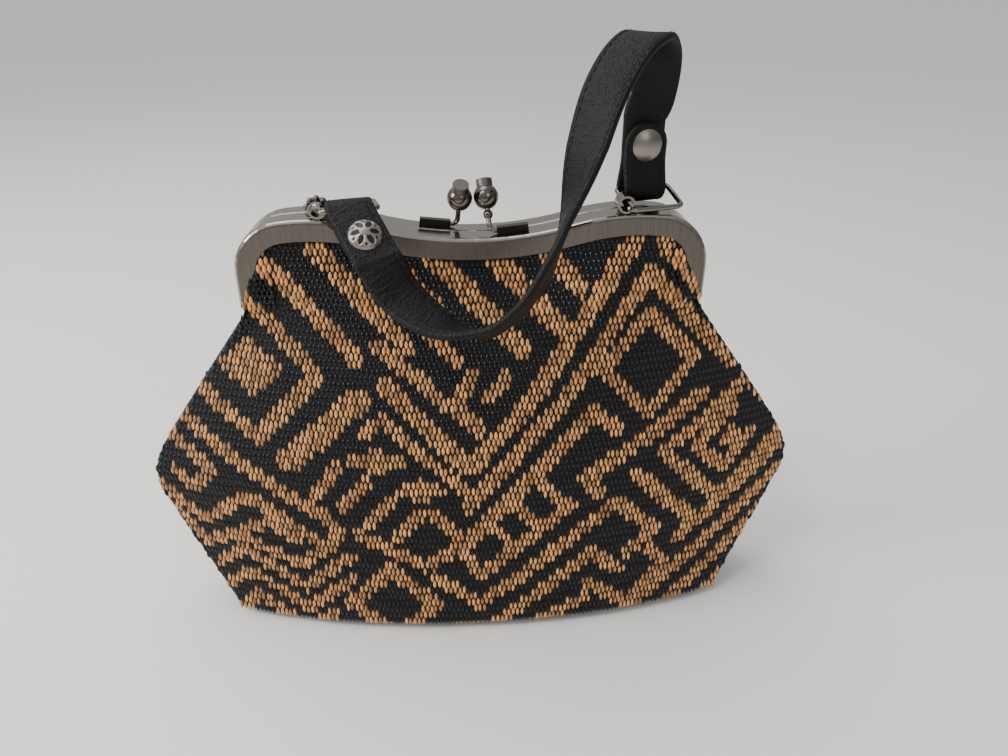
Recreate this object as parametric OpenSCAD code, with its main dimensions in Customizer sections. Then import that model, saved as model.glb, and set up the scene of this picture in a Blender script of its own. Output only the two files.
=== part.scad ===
// Handbag with a hinged kiss-lock frame, a woven pouch and a folded leather strap.
// Lengths in millimetres. X runs to the right, Y away from the front, Z up, and the base rests on Z = 0.

/* [Pouch] */
// Half width of the base
base_half_w = 107; // [95:1:115]
// Half width at the widest level
belly_half_w = 139; // [125:1:150]
// Height of the widest level
belly_z = 70; // [60:1:80]
// Rounding of the side corner at the widest level
belly_round = 11; // [6:1:16]
// Half depth of the base at its middle
base_half_d = 36; // [30:1:42]
// Half depth of the base at its ends
base_end_d = 21; // [16:1:26]
// Half depth of the pouch at the height of the hinges
neck_half_d = 20; // [17:1:23]
// Half width of the fold along the side seams
seam_half_d = 4.4; // [4.2:0.1:5.5]
// Rounding of the bottom edge
bottom_round = 5; // [4:0.5:8]
// Thickness of the woven cloth
cloth_t = 2; // [1.6:0.1:2.1]
// Height of the woven ridges
ridge_h = 0.5; // [0.2:0.1:0.7]
// Thickness of the lining
lining_t = 0.8; // [0.6:0.1:0.9]

/* [Frame] */
// Width over the frame's legs
frame_w = 180; // [172:1:188]
// Height of the frame's shoulders above the base
frame_top_z = 181; // [176:1:186]
// Dip of the frame's top at its middle
dip_h = 8.4; // [6:0.2:10]
// Distance of each shoulder from the middle
shoulder_x = 62; // [58:1:66]
// Outer radius of the frame's corners
corner_r = 20; // [18:1:24]
// Depth of each half, from the seam to its face
rail_d = 11; // [10:0.5:12]
// Height of the frame's face
face_h = 8; // [7:0.5:9]
// Height of the wall behind the face
inner_h = 5; // [4:0.5:6]
// Thickness of the frame's sheet
rail_t = 1; // [0.8:0.1:1.2]
// Radius of the bright bead along the face's top
bead_r = 1.8; // [1.4:0.1:2.2]
// Height of the hinge axis
hinge_z = 143.5; // [140:0.5:146]
// Radius of the hinge ears
ear_r = 3.2; // [2.8:0.1:3.6]
// Radius of the hinge pins
pin_r = 1.2; // [1:0.1:1.4]

/* [Clasp] */
// Radius of the clasp's balls
ball_r = 4.8; // [4:0.1:4.8]
// Distance of each ball from the middle
ball_x = 5; // [5:0.1:6]
// Height of each ball above its foot's wire
ball_rise = 13; // [11:0.5:15]
// Radius of the posts' wire
post_r = 1; // [0.9:0.1:1.3]
// Lean of the posts towards the other half
post_lean = 27; // [22:1:30]
// Radius of the caps on the balls
cap_r = 3.1; // [2.6:0.1:3.6]
// Height of the caps
cap_h = 3; // [2:0.5:4]
// Length of the soldered feet
foot_l = 12; // [10:1:14]

/* [Handle] */
// Distance of the strap tubes from the middle
tube_x = 57; // [54:1:60]
// Outer radius of the strap tubes
tube_r = 3.3; // [3.1:0.1:3.6]
// Bore radius of the strap tubes
tube_bore_r = 2.5; // [2.4:0.1:2.7]
// Length of the strap tubes
tube_l = 7; // [6:0.5:8]
// Length of the rings, across the bag
ring_l = 21; // [21:0.5:23]
// Width of the rings, front to back
ring_w = 16; // [15:0.5:17]
// Radius of the rings' wire
wire_r = 0.95; // [0.8:0.05:1]
// Width of the strap
strap_w = 17; // [14:0.5:17]
// Thickness of the strap
strap_t = 2.8; // [2.4:0.1:3]
// Inner radius of the strap's folds round the rings
fold_r = 2.6; // [2.4:0.1:2.8]
// Distance that the strap hangs in front of its left ring
handle_reach = 36; // [32:1:40]
// Height of the strap's top above its left ring
handle_rise = 57; // [50:1:62]
// Radius of the rivets' heads
rivet_r = 6.2; // [5:0.1:7]

/* [Hidden] */
$fn = 64;

// Clearances: soft pieces, touching metal, running pins, and the overrun of cuts
soft_fit = 0.4;
seat_fit = 0.05;
pin_fit = 0.05;
overrun = 1;

// Colours
black_yarn = "#15181c";
lining_black = "#24211f";
gunmetal = "#7d7873";
polished = "#a7a29c";
black_leather = "#1c1c1d";

// Small helpers
function clamp01(a) = min(1, max(0, a));
function ease(a) = let (b = clamp01(a)) b * b * (3 - 2 * b);
function mix(a, b, k) = a + (b - a) * k;
function soft_min(a, b, k) = (a + b - sqrt(pow(a - b, 2) + pow(k, 2))) / 2;
function unit(v) = v / norm(v);
function turned(v, a) = let (
        tilt = [v[0], v[1] * cos(a[0]) - v[2] * sin(a[0]), v[1] * sin(a[0]) + v[2] * cos(a[0])],
        roll = [tilt[0] * cos(a[1]) + tilt[2] * sin(a[1]), tilt[1],
            tilt[2] * cos(a[1]) - tilt[0] * sin(a[1])])
    [roll[0] * cos(a[2]) - roll[1] * sin(a[2]), roll[0] * sin(a[2]) + roll[1] * cos(a[2]), roll[2]];

// Frame outline: a hollow arc at the middle, a shoulder arc and a corner arc on each side, then the legs
half_w = frame_w / 2;
dip_turn = 2 * atan(dip_h / shoulder_x);
arc_sum = shoulder_x / sin(dip_turn);
dip_share = 0.62;
dip_r = arc_sum * dip_share;
shoulder_r = arc_sum - dip_r;
dip_c = frame_top_z - dip_h + dip_r;
shoulder_c = frame_top_z - shoulder_r;
corner_x = half_w - corner_r;
corner_turn = asin((corner_x - shoulder_x) / (shoulder_r - corner_r));
corner_c = shoulder_c + (shoulder_r - corner_r) * cos(corner_turn);

// Height of the outline at x, set in from the outer edge by d
function outline_z(x, d) = let (a = abs(x), dip_end = (dip_r + d) * sin(dip_turn),
        corner_start = corner_x + (corner_r - d) * sin(corner_turn))
    a < dip_end ? dip_c - sqrt(pow(dip_r + d, 2) - pow(a, 2))
    : a < corner_start ? shoulder_c + sqrt(pow(shoulder_r - d, 2) - pow(a - shoulder_x, 2))
    : corner_c + sqrt(max(0, pow(corner_r - d, 2) - pow(a - corner_x, 2)));

// Frame section: distance forward of the seam, and depth below the outer outline
seam_half_gap = 0.3;
lip_r = 0.7;
round_steps = 4;
rail_section = concat(
    [[rail_d, face_h]],
    [for (i = [0:round_steps]) let (a = 90 * i / round_steps)
        [rail_d - bead_r * (1 - cos(a)), bead_r * (1 - sin(a))]],
    [for (i = [0:round_steps]) let (a = 90 * i / round_steps)
        [seam_half_gap + lip_r * (1 - sin(a)), lip_r * (1 - cos(a))]],
    [[seam_half_gap, inner_h], [seam_half_gap + rail_t, inner_h], [seam_half_gap + rail_t, rail_t],
        [rail_d - rail_t, rail_t], [rail_d - rail_t, face_h]]);

// Hinge: tabs seated inside the legs, stacked along X round one pin
ear_gap = 0.4;
ear_t = 1.2;
ear_root_in = 1.8;
ear_root_out = 4.8;
ear_lap_share = 0.45;
ear_kink = 0.7;
leg_end_z = hinge_z + ear_r + ear_gap;
ear_top_z = mix(leg_end_z, corner_c, ear_lap_share);
front_ear_out = half_w - rail_t - seat_fit;
front_ear_in = front_ear_out - ear_t;
back_ear_out = front_ear_in - ear_gap;
back_ear_in = back_ear_out - ear_t;
pin_head_r = 2.2;
pin_head_t = 0.9;

// Pouch surface: half width, depth at the middle and at the ends, by height
channel_y = rail_d - rail_t - soft_fit;
top_inset = rail_t + soft_fit;
top_half_w = half_w - top_inset;
neck_in = 0.7;
crest_half_w = belly_half_w + belly_round / 2;
wedge_power = 1.7;
end_power = 1.3;
bulge_power = 2.2;
notch_h = 11;
notch_drop_share = 0.5;
notch_z = hinge_z - ear_r - ear_gap - notch_h * notch_drop_share;
notch_rim = 0.4;
neck_ease = 22;
face_hide = face_h - top_inset + soft_fit;
leg_clear = 2.5;
free_share = top_half_w / (half_w - face_h - leg_clear);

function side_w(z) = let (lower = mix(base_half_w, crest_half_w, z / belly_z),
        upper = mix(crest_half_w, half_w - neck_in, (z - belly_z) / (hinge_z - belly_z)))
    max(soft_min(lower, upper, belly_round), top_half_w);
function middle_d(z) = mix(base_half_d, neck_half_d, pow(z / hinge_z, wedge_power));
function in_frame(z) = ease((z - notch_z) / notch_h);
function end_d(z) = let (low = mix(seam_half_d, base_end_d, pow(clamp01(1 - z / belly_z), end_power)))
    mix(low, channel_y, in_frame(z));
function bulge(u, z) = 1 - pow(min(1, abs(u) * mix(1, free_share, in_frame(z))), bulge_power);
function pouch_d(u, z) = mix(end_d(z), middle_d(z), bulge(u, z));

// Cloth grid: columns from seam to seam, rows from the base seam up into the frame's channel
panel_grid = [20, 34];
lining_grid = [16, 20];
row_bend_power = 4;
crowd_share = 0.5;
base_end_share = 0.97;
base_seam_share = 0.95;

function column_u(s) = mix(s, sin(90 * s), crowd_share);
function column_list(n) = concat([[-1, true]],
    [for (i = [0:n]) [column_u(2 * i / n - 1), false]], [[1, true]]);
function top_z(u, drop) = abs(u) == 1 ? leg_end_z + soft_fit : outline_z(u * top_half_w, top_inset + drop);
function row_z(u, f, drop) = let (middle = top_z(0, drop), span = middle - bottom_round)
    bottom_round + f * span + (top_z(u, drop) - middle) * pow(f, row_bend_power);
function hang(u, z) = abs(u) == 1 ? 1 : ease((top_z(u, 0) - z - face_hide) / neck_ease);

// One point of the cloth: column c, row k of n, inset from the outer face, inset of the inner face,
// extra side inset, drop of the top edge, and lift of a ridge
function cloth_point(c, k, n, inset, core, side, drop, lift) = let (
        u = c[0], seam = c[1],
        z = k < 2 ? inset : row_z(u, (k - 2) / (n - 2), drop),
        w = (k < 2 ? base_half_w : side_w(z)) - inset - side,
        d = pouch_d(u, max(z, bottom_round)) - inset + lift,
        edge = u * (w - bottom_round * base_seam_share),
        open = in_frame(z) * (end_d(z) - core - notch_rim))
    k == 0 ? [u * w * base_seam_share * (seam ? 1 : base_end_share), 0, z]
    : k == 1 ? [edge, seam ? 0 : bottom_round + inset / 2 - d, z]
    : [u * w, seam ? -open : -mix(channel_y - inset, d, k == n ? 0 : hang(u, z)), z];

// Ridges stand out on alternate cells, and stop short of the base, the seams and the frame
function ridge(i, k, grid) =
    (i + k) % 2 == 0 && k > 2 && k < grid[1] - 2 && i > 2 && i < grid[0] ? ridge_h : 0;

// Closed shell between an outer and an inner grid of cloth points
module cloth(outer, inner, side, drop, grid, ridged) {
    columns = column_list(grid[0]);
    across = len(columns);
    rows = grid[1];
    points = [for (face = [outer, inner], k = [0:rows], i = [0:across - 1])
        let (lift = ridged && face == outer ? ridge(i, k, grid) : 0)
        cloth_point(columns[i], k, rows, face, inner, side, drop, lift)];
    back = (rows + 1) * across;
    function at(k, i) = k * across + i;
    skins = [for (k = [0:rows - 1], i = [0:across - 2])
        let (a = at(k, i), b = at(k, i + 1), c = at(k + 1, i + 1), d = at(k + 1, i),
            left = (i < across / 2 - 1) != (k > 2))
        each concat(cell(a, b, c, d, left), cell(back + b, back + a, back + d, back + c, !left))];
    rims = concat(
        [for (i = [0:across - 2]) each rim(at(0, i), at(0, i + 1), back)],
        [for (i = [0:across - 2]) each rim(at(rows, i + 1), at(rows, i), back)],
        [for (k = [0:rows - 1]) each rim(at(k + 1, 0), at(k, 0), back)],
        [for (k = [0:rows - 1]) each rim(at(k, across - 1), at(k + 1, across - 1), back)]);
    polyhedron(points, concat(skins, rims));
}
function cell(a, b, c, d, left) = left ? [[a, c, d], [a, b, c]] : [[a, b, d], [b, c, d]];
function rim(a, b, back) = [[a, back + b, b], [a, back + a, back + b]];

lining_gap = 1;
lining_inset = cloth_t + lining_gap;
lining_side = 5;
lining_drop = 1.5;

module front_panel() color(black_yarn) cloth(0, cloth_t, 0, 0, panel_grid, true);
module back_panel() color(black_yarn) mirror([0, 1, 0]) cloth(0, cloth_t, 0, 0, panel_grid, true);
module front_lining() color(lining_black)
    cloth(lining_inset, lining_inset + lining_t, lining_side, lining_drop, lining_grid, false);
module back_lining() color(lining_black) mirror([0, 1, 0])
    cloth(lining_inset, lining_inset + lining_t, lining_side, lining_drop, lining_grid, false);

// Stations along the right half of the frame, from the leg's end to the middle: arc centre, radius,
// whether the arc grows with depth, and the angle on it
corner_steps = 8;
shoulder_steps = 6;
dip_steps = 6;
right_stations = concat(
    [[corner_x, leg_end_z, corner_r, -1, 0]],
    [for (i = [0:corner_steps]) [corner_x, corner_c, corner_r, -1, (90 - corner_turn) * i / corner_steps]],
    [for (i = [1:shoulder_steps]) [shoulder_x, shoulder_c, shoulder_r, -1,
        90 - corner_turn + (corner_turn + dip_turn) * i / shoulder_steps]],
    [for (i = [1:dip_steps]) [0, dip_c, dip_r, 1, dip_turn * (1 - i / dip_steps) - 90]]);
function on_outline(s, d) = [s[0] + (s[2] + s[3] * d) * cos(s[4]), s[1] + (s[2] + s[3] * d) * sin(s[4])];
function station_ring(s, side) =
    [for (p = rail_section) let (q = on_outline(s, p[1])) [side * q[0], -p[0], q[1]]];

// The frame's section carried round its outline, leg to leg
module rail_sweep() {
    half_n = len(right_stations);
    rings = concat([for (s = right_stations) station_ring(s, 1)],
        [for (i = [half_n - 2:-1:0]) station_ring(right_stations[i], -1)]);
    n = len(rail_section);
    last = len(rings) - 1;
    sides = [for (j = [0:last - 1], i = [0:n - 1]) let (k = (i + 1) % n)
        each [[j * n + i, (j + 1) * n + k, j * n + k], [j * n + i, (j + 1) * n + i, (j + 1) * n + k]]];
    ends = [[for (i = [0:n - 1]) i], [for (i = [n - 1:-1:0]) last * n + i]];
    polyhedron([for (r = rings) each r], concat(sides, ends));
}

// Outline of a hinge ear, reaching from the pin up into its leg
module ear(inside, outside)
    translate([inside, 0, 0]) rotate([90, 0, 90]) linear_extrude(outside - inside) {
        translate([0, hinge_z]) circle(ear_r);
        polygon([[0, hinge_z - ear_r], [0, hinge_z + ear_r], [-ear_root_in, hinge_z + ear_r],
            [-ear_root_in, ear_top_z], [-ear_root_out, ear_top_z], [-ear_root_out, leg_end_z + ear_kink]]);
    }

// Block that joins an inner ear to the leg's outer wall
module ear_root(inside)
    translate([inside + ear_t / 2, ear_kink - ear_root_out, leg_end_z + 2 * ear_kink])
        cube([front_ear_out - inside - ear_t / 2, ear_root_out - ear_root_in - 2 * ear_kink,
            ear_top_z - leg_end_z - 3 * ear_kink]);

module hinge_bore()
    translate([back_ear_in - overrun, 0, hinge_z]) rotate([0, 90, 0])
        cylinder(r = pin_r + pin_fit, h = front_ear_out - back_ear_in + 2 * overrun);

module hinge_tab(inside, outside) difference() {
    union() {
        ear(inside, outside);
        if (outside < front_ear_out) ear_root(inside);
    }
    hinge_bore();
}

module front_rail() color(gunmetal) rail_sweep();
module back_rail() color(gunmetal) mirror([0, 1, 0]) rail_sweep();
module front_right_tab() color(gunmetal) hinge_tab(front_ear_in, front_ear_out);
module front_left_tab() color(gunmetal) mirror([1, 0, 0]) hinge_tab(front_ear_in, front_ear_out);
module back_right_tab() color(gunmetal) mirror([0, 1, 0]) hinge_tab(back_ear_in, back_ear_out);
module back_left_tab() color(gunmetal)
    mirror([1, 0, 0]) mirror([0, 1, 0]) hinge_tab(back_ear_in, back_ear_out);

module hinge_pin() {
    translate([back_ear_in - pin_fit - pin_head_t, 0, hinge_z]) rotate([0, 90, 0]) {
        cylinder(r = pin_head_r, h = pin_head_t);
        cylinder(r = pin_r, h = front_ear_out - back_ear_in + 2 * (pin_head_t + pin_fit));
    }
    translate([front_ear_out + pin_fit, 0, hinge_z]) rotate([0, 90, 0])
        cylinder(r = pin_head_r, h = pin_head_t);
}

module right_hinge_pin() color(polished) hinge_pin();
module left_hinge_pin() color(polished) mirror([1, 0, 0]) hinge_pin();

// Clasp: each foot lies along the frame's top, and its post bends up from the end near the middle
foot_w = 3.2;
foot_h = 2.7;
foot_y = 5.2;
elbow_r = 2.6;
bore_depth = 5;
collar_r = 1.9;
knob_back = foot_l / 2 + elbow_r;
foot_lift = dip_r - sqrt(pow(dip_r, 2) - pow(foot_l / 2, 2)) + seat_fit;
wire_z = foot_lift + foot_h / 2;
knob_fall = dip_r - wire_z - ball_rise * cos(post_lean);
foot_turn = asin(ball_x / norm([knob_fall, knob_back])) + atan(knob_back / knob_fall);

// Places its children on the frame's top at the foot's middle, X along the top
module on_top()
    translate([0, 0, dip_c]) rotate([0, -foot_turn, 0]) translate([0, -foot_y, -dip_r]) children();

module knob_foot() on_top() difference() {
    translate([-foot_l / 2, -foot_w / 2, foot_lift]) cube([foot_l, foot_w, foot_h]);
    translate([-foot_l / 2 - overrun, 0, wire_z]) rotate([0, 90, 0])
        cylinder(r = post_r + pin_fit, h = bore_depth + overrun);
}

module knob_post() {
    on_top() translate([-foot_l / 2, 0, wire_z]) rotate([0, 90, 0])
        cylinder(r = post_r, h = bore_depth - pin_fit);
    on_top() translate([-foot_l / 2, 0, wire_z]) rotate([-post_lean, 0, 0]) {
        translate([0, 0, elbow_r]) rotate([90, 0, 0]) rotate([0, 0, 180])
            rotate_extrude(angle = 90) translate([elbow_r, 0]) circle(post_r);
        translate([-elbow_r, 0, elbow_r]) cylinder(r = post_r, h = ball_rise + ball_r - elbow_r);
    }
}

// Ball, cap and collar share the post's line
module on_line(z)
    on_top() translate([-knob_back, 0, wire_z]) rotate([-post_lean, 0, 0]) translate([0, 0, z]) children();

cap_sink_share = 0.75;
module knob_ball() on_line(ball_rise) difference() {
    sphere(ball_r);
    translate([0, 0, -ball_r - overrun]) cylinder(r = post_r + pin_fit, h = 2 * (ball_r + overrun));
    translate([0, 0, ball_r * cap_sink_share]) cylinder(r = ball_r, h = ball_r);
}
module knob_cap() on_line(ball_rise + ball_r * cap_sink_share) difference() {
    cylinder(r = cap_r, h = cap_h);
    translate([0, 0, -overrun])
        cylinder(r = post_r + pin_fit, h = overrun + ball_r * (1 - cap_sink_share) + pin_fit);
}
module knob_collar() on_line(ball_rise - ball_r - collar_r) difference() {
    sphere(collar_r);
    translate([0, 0, -collar_r - overrun]) cylinder(r = post_r + pin_fit, h = 2 * (collar_r + overrun));
}
module on_back() mirror([1, 0, 0]) mirror([0, 1, 0]) children();

module front_knob_foot() color(gunmetal) knob_foot();
module front_knob_post() color(polished) knob_post();
module front_knob_collar() color(polished) knob_collar();
module front_knob_ball() color(polished) knob_ball();
module front_knob_cap() color(polished) knob_cap();
module back_knob_foot() color(gunmetal) on_back() knob_foot();
module back_knob_post() color(polished) on_back() knob_post();
module back_knob_ball() color(polished) on_back() knob_ball();
module back_knob_cap() color(polished) on_back() knob_cap();

// Strap tubes lie front to back on the front half's top
tube_set = 6.5;
tube_z = shoulder_c + sqrt(pow(shoulder_r + tube_r + seat_fit, 2) - pow(tube_x - shoulder_x, 2));
tube_c = [tube_x, -tube_set, tube_z];
bead_ball_r = 0.95;
bead_n = 11;
bead_span = 250;
bead_set = 2.6;
bead_proud = 0.35;

module tube_shell() difference() {
    cylinder(r = tube_r, h = tube_l, center = true);
    cylinder(r = tube_bore_r, h = tube_l + 2 * overrun, center = true);
}

module right_strap_tube() color(polished) translate(tube_c) rotate([90, 0, 0]) tube_shell();
module left_strap_tube() color(polished)
    translate([-tube_c[0], tube_c[1], tube_c[2]]) rotate([90, 0, 0]) {
        tube_shell();
        for (i = [0:bead_n - 1]) rotate([0, 0, 90 - bead_span / 2 + bead_span * i / (bead_n - 1)])
            translate([tube_r + bead_proud, 0, tube_l / 2 - bead_set]) sphere(bead_ball_r);
    }

// Rings: rounded rectangles of wire with one short side inside the tube
ring_corner = 2.2;
ring_play = 1.2;
ring_slide = ring_w / 2 - tube_l / 2 - wire_r - ring_play;
left_ring_turn = [-5, -1.3, 11.5];
right_ring_turn = [16.5, -1.3, 11];

module ring(slide) translate([0, slide, 0]) {
    for (s = [0, 1]) {
        translate([s * ring_l, -ring_w / 2 + ring_corner, 0]) rotate([-90, 0, 0])
            cylinder(r = wire_r, h = ring_w - 2 * ring_corner);
        translate([ring_corner, (s - 1 / 2) * ring_w, 0]) rotate([0, 90, 0])
            cylinder(r = wire_r, h = ring_l - 2 * ring_corner);
    }
    for (q = [0:3]) translate([ring_l / 2, 0, 0]) mirror([q % 2, 0, 0]) mirror([0, floor(q / 2), 0])
        translate([ring_l / 2 - ring_corner, ring_w / 2 - ring_corner, 0])
            rotate_extrude(angle = 90) translate([ring_corner, 0]) circle(wire_r);
}

module left_ring() color(polished)
    translate([-tube_c[0], tube_c[1], tube_c[2]]) rotate(left_ring_turn) ring(-ring_slide);
module right_ring() color(polished) translate(tube_c) rotate(right_ring_turn) ring(ring_slide);

// Strap: its middle line wraps the left ring's front bar and the right ring's back bar
left_bar = [-tube_c[0], tube_c[1], tube_c[2]]
    + turned([ring_l / 2, -ring_slide - ring_w / 2, 0], left_ring_turn);
right_bar = tube_c + turned([ring_l / 2, ring_slide + ring_w / 2, 0], right_ring_turn);
handle_span = right_bar[0] - left_bar[0];
wrap_r = fold_r + strap_t / 2;
layer_gap = 0.2;
layer_step = strap_t + layer_gap;
left_exit = 50;
left_drop = fold_r - wire_r - soft_fit;
left_across = turned([1, 0, 0], left_ring_turn);
right_across = -turned([1, 0, 0], right_ring_turn);
up = [0, 0, 1];
left_forward = unit(cross(up, -left_across));
right_forward = unit(cross(up, right_across));
left_fold = left_bar - up * left_drop;
right_fold = right_bar;
rivet_reach = 13;
tail_reach = 20;
right_rivet_reach = 16;
right_tail_reach = 24;
tail_clear = 3;
slant_share = 0.3;
flat_share = 0.54;
meet_share = 0.46;
right_meet_share = 0.6;
turn_steps = 8;

// The run between the folds, as shares of the handle's span, reach and rise from the left fold
run_shares = [[0.17, 0.64, -0.41], [0.285, 0.86, -0.54], [0.42, 1, -0.57],
    [0.53, 1, -0.43], [0.62, 0.89, -0.20], [0.68, 0.69, 0.04], [0.75, 0.39, 0.44], [0.81, 0.17, 0.73],
    [0.89, -0.05, 0.94], [0.97, -0.3, 1], [1.02, -0.52, 0.86], [1.02, -0.61, 0.62]];
// Direction across the strap at each of those points, as shares of one step
across_shares = [[0.6, 0.62, 0.4], [0.35, 0.85, 0.1], [0.05, 0.85, -0.5],
    [0.15, 0.85, -0.5], [0.25, 0.88, -0.4], [0, 0.93, -0.35], [-0.7, 0.68, -0.1], [-0.85, 0.5, 0],
    [-0.9, 0.42, 0], [-0.95, 0.3, 0.05], [-1, 0.1, 0], [-1, 0, 0]];

// Points on a fold of the middle line round a ring's bar
function on_wrap(c, fwd, a) = c + wrap_r * (cos(a) * fwd + sin(a) * up);
left_heading = sin(left_exit) * left_forward - cos(left_exit) * up + slant_share * left_across;
left_normal = unit(cross(left_heading, left_across));
left_start = on_wrap(left_fold, left_forward, left_exit);
right_start = right_fold - right_forward * layer_step / 2;
left_rivet_at = left_start + rivet_reach * left_heading;
right_rivet_at = right_start + right_rivet_reach * up;

left_tail = [for (r = [tail_reach, rivet_reach, rivet_reach * flat_share, rivet_reach * meet_share])
    left_start + r * left_heading - layer_step * left_normal];
left_wrap = [for (i = [0:turn_steps])
    on_wrap(left_fold, left_forward, left_exit + 180 * (1 - i / turn_steps))];
run = [for (s = run_shares) left_fold + [s[0] * handle_span, -s[1] * handle_reach, s[2] * handle_rise]];
right_wrap = [for (i = [0:turn_steps]) on_wrap(right_fold, right_forward, 180 * (1 + i / turn_steps))];
right_reaches = [right_rivet_reach * right_meet_share, right_rivet_reach, right_tail_reach];
right_tail = [for (r = right_reaches) right_fold + right_forward * layer_step / 2 + r * up];

left_knots = concat(left_tail, left_wrap,
    [for (r = [rivet_reach, tail_reach, tail_reach + tail_clear]) left_start + r * left_heading]);
right_knots = concat(
    [for (r = [right_tail_reach + tail_clear, right_tail_reach, right_rivet_reach, right_reaches[0]])
        right_start + r * up],
    right_wrap, right_tail);
knots = concat(left_knots, run, right_knots);
knots_across = concat([for (p = left_knots) left_across], across_shares,
    [for (p = right_knots) right_across]);

// Smooth curve through the knots, in steps of about strap_step
strap_step = 4;
function slope(i) = let (a = max(0, i - 1), b = min(len(knots) - 1, i + 1))
    (knots[b] - knots[a]) / (norm(knots[b] - knots[i]) + norm(knots[i] - knots[a]));
function curve_point(i, t) = let (h = norm(knots[i + 1] - knots[i]))
    (2 * pow(t, 3) - 3 * pow(t, 2) + 1) * knots[i] + (3 * pow(t, 2) - 2 * pow(t, 3)) * knots[i + 1]
    + h * (pow(t, 3) - 2 * pow(t, 2) + t) * slope(i) + h * (pow(t, 3) - pow(t, 2)) * slope(i + 1);
function steps(i) = max(1, round(norm(knots[i + 1] - knots[i]) / strap_step));
line = concat([for (i = [0:len(knots) - 2], j = [0:steps(i) - 1]) curve_point(i, j / steps(i))],
    [knots[len(knots) - 1]]);
line_across = concat([for (i = [0:len(knots) - 2], j = [0:steps(i) - 1])
    mix(knots_across[i], knots_across[i + 1], j / steps(i))], [knots_across[len(knots) - 1]]);

function heading(i) = unit(line[min(len(line) - 1, i + 1)] - line[max(0, i - 1)]);
function square_to(v, t) = unit(v - (v * t) * t);

// Half width, drawn in to a round end at both tails
end_flat = 0.6;
edge_cut = 0.5;
function half_width(i) = let (r = strap_w / 2,
        away = min(norm(line[i] - line[0]) + (i > len(line) / 2 ? strap_w : 0),
            norm(line[i] - line[len(line) - 1]) + (i < len(line) / 2 ? strap_w : 0)))
    r * sqrt(1 - pow(1 - clamp01((away + end_flat) / r), 2));

function strap_ring(i) = let (t = heading(i), w = square_to(line_across[i], t), n = cross(t, w),
        a = half_width(i), b = strap_t / 2, c = edge_cut,
        section = [[a, b - c], [a - c, b], [c - a, b], [-a, b - c], [-a, c - b], [c - a, -b], [a - c, -b],
            [a, c - b]])
    [for (p = section) line[i] + p[0] * w + p[1] * n];

module strap_band() {
    rings = [for (i = [0:len(line) - 1]) strap_ring(i)];
    n = len(rings[0]);
    last = len(rings) - 1;
    sides = [for (j = [0:last - 1], i = [0:n - 1]) let (k = (i + 1) % n)
        each [[j * n + i, (j + 1) * n + k, j * n + k], [j * n + i, (j + 1) * n + i, (j + 1) * n + k]]];
    ends = [[for (i = [0:n - 1]) i], [for (i = [n - 1:-1:0]) last * n + i]];
    polyhedron([for (r = rings) each r], concat(sides, ends));
}

// Rivets: a shank through both layers, a domed head on the outer side and a domed cap on the inner side
shank_r = 1.4;
head_h = 2.2;
cap_dome_h = 1.8;
cap_share = 0.95;
right_normal = -right_forward;

module along(at, v) translate(at) rotate([0, acos(unit(v)[2]), atan2(v[1], v[0])]) children();

module dome(r, h) intersection() {
    ball = (pow(r, 2) + pow(h, 2)) / (2 * h);
    translate([0, 0, h - ball]) sphere(ball);
    cylinder(r = r, h = h + overrun);
}

module shank_bore(at, v)
    along(at, v) translate([0, 0, -2 * layer_step]) cylinder(r = shank_r + pin_fit, h = 3 * layer_step);

module rivet_head(at, v) along(at, v) {
    translate([0, 0, strap_t / 2 + seat_fit]) dome(rivet_r, head_h);
    translate([0, 0, -strap_t / 2 - layer_step]) cylinder(r = shank_r, h = strap_t + layer_step + seat_fit);
}

module rivet_cap(at, v) along(at, -v)
    translate([0, 0, strap_t / 2 + layer_step + seat_fit]) dome(rivet_r * cap_share, cap_dome_h);

module strap() color(black_leather) difference() {
    strap_band();
    shank_bore(left_rivet_at, left_normal);
    shank_bore(right_rivet_at, right_normal);
}
module left_rivet_head() color(polished) rivet_head(left_rivet_at, left_normal);
module left_rivet_cap() color(polished) rivet_cap(left_rivet_at, left_normal);
module right_rivet_head() color(polished) rivet_head(right_rivet_at, right_normal);
module right_rivet_cap() color(polished) rivet_cap(right_rivet_at, right_normal);

front_panel();
back_panel();
front_lining();
back_lining();
front_rail();
back_rail();
front_left_tab();
front_right_tab();
back_left_tab();
back_right_tab();
left_hinge_pin();
right_hinge_pin();
front_knob_foot();
front_knob_post();
front_knob_collar();
front_knob_ball();
front_knob_cap();
back_knob_foot();
back_knob_post();
back_knob_ball();
back_knob_cap();
left_strap_tube();
right_strap_tube();
left_ring();
right_ring();
strap();
left_rivet_head();
left_rivet_cap();
right_rivet_head();
right_rivet_cap();
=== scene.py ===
"""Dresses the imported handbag: woven pouch, gunmetal frame and clasp, leather strap and its fittings."""

import logging
import math
from dataclasses import dataclass, field
from enum import Enum
from typing import NamedTuple

import bmesh
import bpy
import numpy as np
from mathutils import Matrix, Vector
from mathutils.bvhtree import BVHTree


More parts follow.
